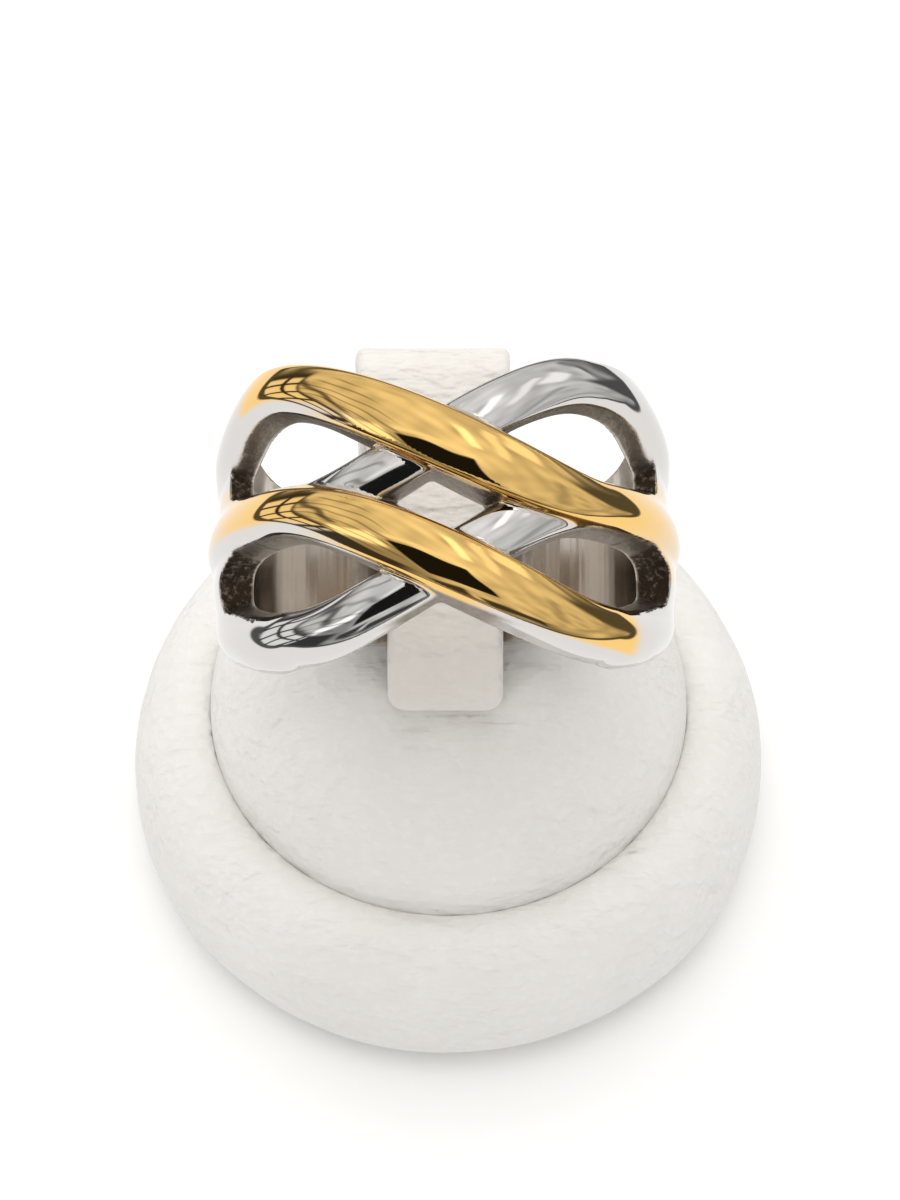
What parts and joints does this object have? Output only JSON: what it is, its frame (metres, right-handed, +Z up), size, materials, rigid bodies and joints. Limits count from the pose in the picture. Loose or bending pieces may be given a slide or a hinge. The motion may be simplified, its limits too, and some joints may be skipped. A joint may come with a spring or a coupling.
{
  "type": "crossover ring on a display stand",
  "caption": "Two-tone ring whose gold strands cross over silver ones, leaning on a small padded leather display stand with a clip through the finger hole.",
  "frame": {"origin": "middle of the stand's underside, on the floor", "axes": "+Z up, -Y towards the viewer the ring leans to, X across the ring"},
  "size_m": [0.0316, 0.0316, 0.0385],
  "materials": {
    "ring_metal": "polished, two strands gold-plated",
    "leather": "soft off-white, fine grain"
  },
  "bodies": {
    "root": {"ring": "ring_metal", "stand_base": "leather", "stand_dome": "leather", "ring_clip": "leather"}
  },
  "joints": []
}
